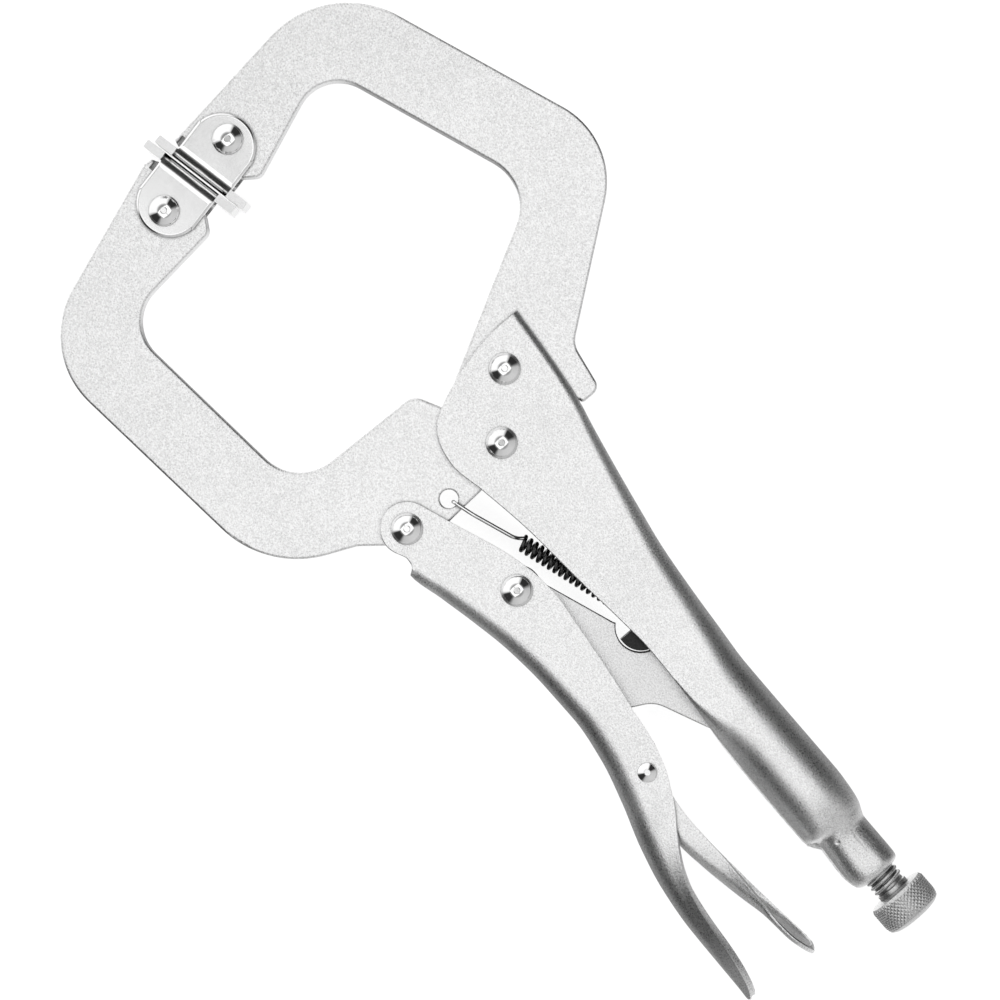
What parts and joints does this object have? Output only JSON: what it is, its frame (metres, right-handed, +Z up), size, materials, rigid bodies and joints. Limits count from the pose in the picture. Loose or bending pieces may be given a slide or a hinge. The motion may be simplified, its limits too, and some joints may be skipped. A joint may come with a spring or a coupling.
{
  "type": "locking c clamp",
  "caption": "Locking C clamp with swivel pads, an over-centre lever with a release lever, and a knurled adjusting screw.",
  "frame": {"origin": "middle of the tool's outline, on the plane it lies on", "axes": "+X along the adjusting screw from the jaws to the knob, +Y towards the fixed jaw's side, +Z up, along the hinge pins"},
  "size_m": [0.2798, 0.1428, 0.02],
  "materials": {
    "handle_steel": "satin nickel plate over bead-blasted steel",
    "arm_steel": "satin nickel plate, fine grain",
    "lever_steel": "satin nickel plate over bead-blasted steel",
    "link_steel": "satin nickel plate",
    "pad_steel": "smooth bright nickel plate",
    "rivet_steel": "polished domed heads",
    "screw_steel": "zinc plate, slightly dull",
    "spring_steel": "dark oiled spring wire",
    "dark_steel": "black oxide, matt"
  },
  "bodies": {
    "handle": {"fixed_handle": "handle_steel", "threaded_bush": "screw_steel", "spring_anchor": "dark_steel", "return_spring": "spring_steel", "fixed_jaw": "arm_steel", "jaw_fixing_rivet": "rivet_steel", "jaw_pivot_rivet": "rivet_steel", "upper_pad_rivet": "rivet_steel"},
    "moving_jaw": {"moving_jaw": "arm_steel", "lower_pad_rivet": "rivet_steel"},
    "lever": {"lever": "lever_steel", "lever_pivot_rivet": "rivet_steel", "link_pivot_rivet": "rivet_steel", "release_lever_rivet": "rivet_steel"},
    "link": {"toggle_link": "link_steel"},
    "release_lever": {"release_lever": "lever_steel"},
    "upper_pad": {"upper_pad": "pad_steel"},
    "lower_pad": {"lower_pad": "pad_steel"},
    "screw": {"adjusting_screw": "screw_steel"},
    "knob": {"screw_knob": "screw_steel"}
  },
  "joints": [
    {"name": "jaw_pivot", "type": "hinge", "parent": "handle", "child": "moving_jaw", "pos_m": [-0.0221, 0.00175, 0.01], "axis": [0, 0, 1], "range_deg": [0, 22], "deforming": ["return_spring"]},
    {"name": "lever_pivot", "type": "hinge", "parent": "moving_jaw", "child": "lever", "pos_m": [-0.0213, -0.03095, 0.01], "axis": [0, 0, 1], "range_deg": [-67, 0]},
    {"name": "link_pivot", "type": "hinge", "parent": "lever", "child": "link", "pos_m": [0.009, -0.02005, 0.01], "axis": [0, 0, 1], "range_deg": [0, 67]},
    {"name": "release_pivot", "type": "hinge", "parent": "lever", "child": "release_lever", "pos_m": [0.066, -0.02535, 0.01], "axis": [0, 0, 1], "range_deg": [-6, 0]},
    {"name": "upper_pad_swivel", "type": "hinge", "parent": "handle", "child": "upper_pad", "pos_m": [-0.1266, -0.00025, 0.01], "axis": [0, 0, 1], "range_deg": [0, 12]},
    {"name": "lower_pad_swivel", "type": "hinge", "parent": "moving_jaw", "child": "lower_pad", "pos_m": [-0.1234, -0.02455, 0.01], "axis": [0, 0, 1], "range_deg": [-12, 0]},
    {"name": "screw_slide", "type": "slide", "parent": "handle", "child": "screw", "axis": [1, 0, 0], "range_m": [0, 0.024]},
    {"name": "knob_turn", "type": "hinge", "parent": "screw", "child": "knob", "pos_m": [0.1354, 0.00265, 0.01], "axis": [1, 0, 0], "range_deg": [0, 5760]}
  ],
  "couplings": [
    {"joint": "lever_pivot", "follows": "jaw_pivot", "ratio": -3},
    {"joint": "link_pivot", "follows": "jaw_pivot", "ratio": 3},
    {"joint": "upper_pad_swivel", "follows": "jaw_pivot", "ratio": 0.5},
    {"joint": "lower_pad_swivel", "follows": "jaw_pivot", "ratio": -0.5},
    {"joint": "knob_turn", "follows": "screw_slide", "rad_per_m": 4188.8}
  ]
}
